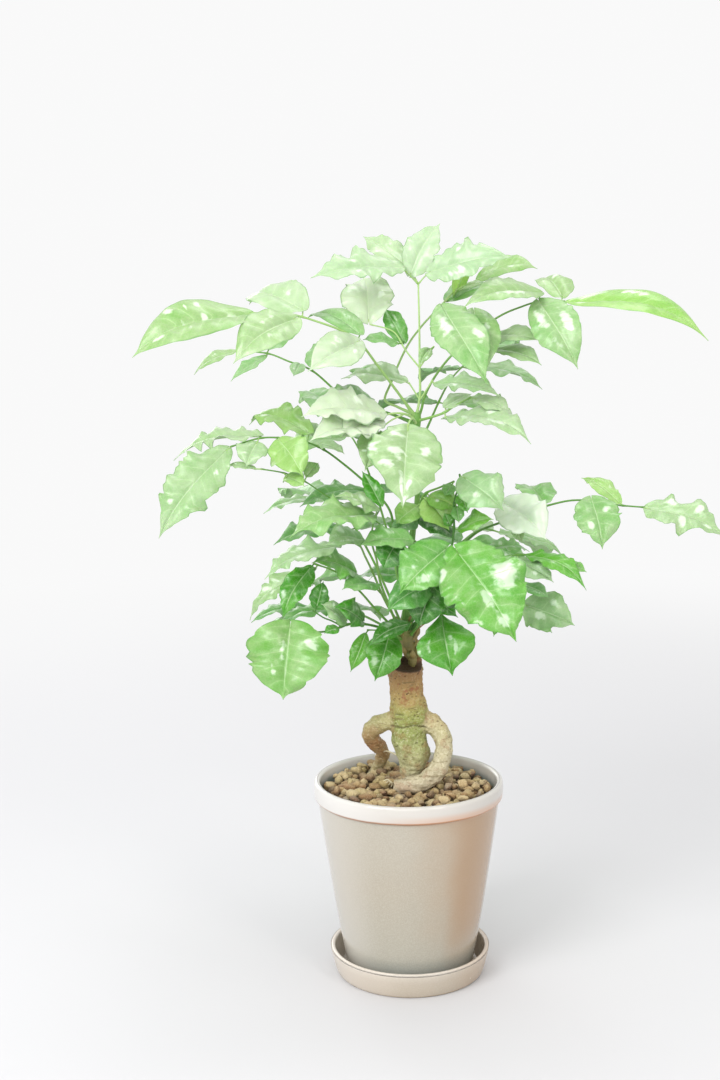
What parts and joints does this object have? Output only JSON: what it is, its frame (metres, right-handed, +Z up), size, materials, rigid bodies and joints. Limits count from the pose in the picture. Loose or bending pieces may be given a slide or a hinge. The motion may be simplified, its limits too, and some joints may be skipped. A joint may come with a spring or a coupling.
{
  "type": "potted heteropanax",
  "caption": "Small potted indoor tree with a stilt-rooted trunk and pinnate fronds, in a glazed tapered pot standing in its saucer.",
  "frame": {"origin": "middle of the saucer's flat underside, on the axis of the pot", "axes": "+Z up along the trunk, -Y towards the front of the plant, +X to its right"},
  "size_m": [0.3903, 0.2798, 0.5293],
  "materials": {
    "saucer_glaze": "satin glazed stoneware, warm grey",
    "pot_glaze": "gloss glaze, off-white rim over a pale grey-beige body",
    "soil": "moist crumbly potting soil",
    "gravel": "matt chunky pumice gravel, tan to brown",
    "bark": "thin green-beige bark, brown and spotted above",
    "stem": "young green and brown stem, satin",
    "foliage": "soft glossy translucent leaf, fresh green"
  },
  "bodies": {
    "root": {"saucer": "saucer_glaze", "pot": "pot_glaze", "soil": "soil", "gravel": "gravel", "trunk": "bark", "main_stem": "stem", "top_frond": "foliage", "upper_left_frond": "foliage", "back_left_frond": "foliage", "back_twig": "foliage", "upper_right_frond": "foliage", "right_middle_frond": "foliage", "front_leaf": "foliage", "pale_left_frond": "foliage", "left_frond": "foliage", "front_left_frond": "foliage", "low_left_frond": "foliage", "drooping_left_frond": "foliage", "round_leaf_left": "foliage", "crown_leaves": "foliage", "front_low_leaf": "foliage", "front_right_frond": "foliage", "centre_right_frond": "foliage", "upright_twig": "foliage", "right_frond": "foliage", "low_right_frond": "foliage", "back_frond_1": "foliage", "back_frond_2": "foliage", "back_frond_3": "foliage", "back_frond_4": "foliage", "back_frond_5": "foliage", "back_frond_6": "foliage"}
  },
  "joints": []
}
